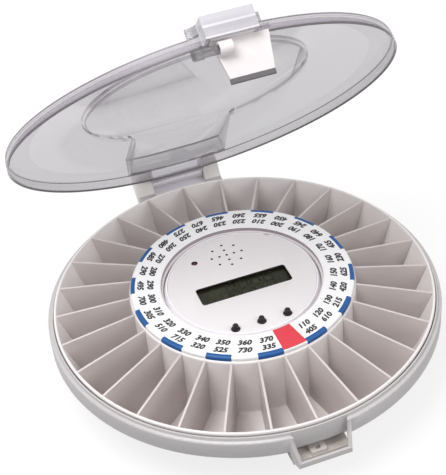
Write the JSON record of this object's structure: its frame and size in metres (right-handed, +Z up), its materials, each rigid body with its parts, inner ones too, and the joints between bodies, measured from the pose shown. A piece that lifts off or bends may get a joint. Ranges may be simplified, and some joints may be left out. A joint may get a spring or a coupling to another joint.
{
  "type": "automatic pill dispenser",
  "caption": "Round automatic pill dispenser with a turning compartment tray, a printed dose ring, a control face with display and buttons, and a clear hinged locking lid.",
  "frame": {"origin": "centre of the case's flat underside, on the tray's axis; the feet stand 2 mm below it", "axes": "+Z up along the tray's axis, -Y towards the latch at the front, +Y towards the lid's hinge, +X to the right seen from the front"},
  "size_m": [0.19, 0.209, 0.2024],
  "materials": {
    "case_plastic": "satin, warm light grey",
    "tray_plastic": "satin, pale grey",
    "clear_plastic": "clear, polished",
    "milky_plastic": "milky white",
    "dark_strip": "matt",
    "printed_ring": "printed card-like face",
    "face_plastic": "fine matt",
    "black_key": "satin black",
    "display_glass": "clear",
    "display_cell": "dark, glossy",
    "display_frame": "matt",
    "circuit_board": "solder mask",
    "key_dome": "plain",
    "sounder_shell": "matt",
    "lamp_lens": "tinted lens",
    "gear_plastic": "moulded, natural",
    "steel": "plain",
    "battery_sleeve": "plain sleeve",
    "foot_rubber": "matt"
  },
  "bodies": {
    "case": {"base_bowl": "case_plastic", "rim_band": "case_plastic", "keeper_post": "case_plastic", "hinge_pin": "gear_plastic", "hinge_cover": "case_plastic", "bottom_cover": "case_plastic", "rubber_feet": "foot_rubber", "tray_glides": "gear_plastic", "centre_drum": "case_plastic", "battery_box": "case_plastic", "batteries": "battery_sleeve", "battery_contacts": "key_dome", "gear_bracket": "gear_plastic", "motor_can": "key_dome", "gear_axle": "steel", "index_switch": "display_frame", "drum_screws": "steel", "cover_screws": "steel", "bracket_screws": "steel", "control_face": "face_plastic", "lcd_window": "display_glass", "lcd_panel": "display_cell", "lcd_holder": "display_frame", "control_board": "circuit_board", "controller_chip": "display_frame", "key_switches": "key_dome", "sounder": "sounder_shell", "alert_led": "lamp_lens"},
    "tray": {"tray_floor": "tray_plastic", "tray_cove": "tray_plastic", "tray_wall": "tray_plastic", "tray_hub": "tray_plastic", "tray_dividers": "tray_plastic", "ring_gear": "gear_plastic"},
    "ring": {"dosage_ring": "printed_ring"},
    "lid": {"lid_shell": "clear_plastic", "latch_tongue": "milky_plastic", "latch_strip": "dark_strip"},
    "lock": {"lock_barrel": "clear_plastic"},
    "drive": {"drive_shaft": "steel", "drive_gear": "gear_plastic", "index_cam": "gear_plastic", "tray_pinion": "gear_plastic"},
    "reduction": {"reduction_gear": "gear_plastic"},
    "rotor": {"motor_shaft": "steel", "motor_pinion": "gear_plastic"},
    "door": {"battery_door": "case_plastic"},
    "key_left": {"button_left": "black_key"},
    "key_middle": {"button_middle": "black_key"},
    "key_right": {"button_right": "black_key"}
  },
  "joints": [
    {"name": "tray_turn", "type": "hinge", "parent": "case", "child": "tray", "pos_m": [0, 0, 0.02], "axis": [0, 0, 1], "continuous": true},
    {"name": "ring_lift", "type": "slide", "parent": "tray", "child": "ring", "axis": [0, 0, 1], "range_m": [0, 0.045]},
    {"name": "lid_hinge", "type": "hinge", "parent": "case", "child": "lid", "pos_m": [0, 0.1045, 0.0358], "axis": [-1, 0, 0], "range_deg": [-51, 44]},
    {"name": "lock_turn", "type": "hinge", "parent": "lid", "child": "lock", "pos_m": [-0.013, -0.02951, 0.18952], "axis": [1, 0, 0], "range_deg": [0, 90]},
    {"name": "drive_turn", "type": "hinge", "parent": "case", "child": "drive", "pos_m": [0.02314, 0.02758, 0.03], "axis": [0, 0, 1], "continuous": true},
    {"name": "reduction_turn", "type": "hinge", "parent": "case", "child": "reduction", "pos_m": [0.01324, 0.03343, 0.026], "axis": [0, 0, 1], "continuous": true},
    {"name": "rotor_turn", "type": "hinge", "parent": "case", "child": "rotor", "pos_m": [0.002, 0.031, 0.02], "axis": [0, 0, 1], "continuous": true},
    {"name": "battery_door_slide", "type": "slide", "parent": "case", "child": "door", "axis": [0, 0, -1], "range_m": [0, 0.03]},
    {"name": "key_left_press", "type": "slide", "parent": "case", "child": "key_left", "axis": [0, 0, -1], "range_m": [0, 0.0007], "stiffness_N_per_m": 900, "springref_m": -0.0006},
    {"name": "key_middle_press", "type": "slide", "parent": "case", "child": "key_middle", "axis": [0, 0, -1], "range_m": [0, 0.0007], "stiffness_N_per_m": 900, "springref_m": -0.0006},
    {"name": "key_right_press", "type": "slide", "parent": "case", "child": "key_right", "axis": [0, 0, -1], "range_m": [0, 0.0007], "stiffness_N_per_m": 900, "springref_m": -0.0006}
  ],
  "couplings": [
    {"joint": "drive_turn", "follows": "tray_turn", "ratio": 7},
    {"joint": "reduction_turn", "follows": "tray_turn", "ratio": -25.2},
    {"joint": "rotor_turn", "follows": "tray_turn", "ratio": 90.72}
  ]
}
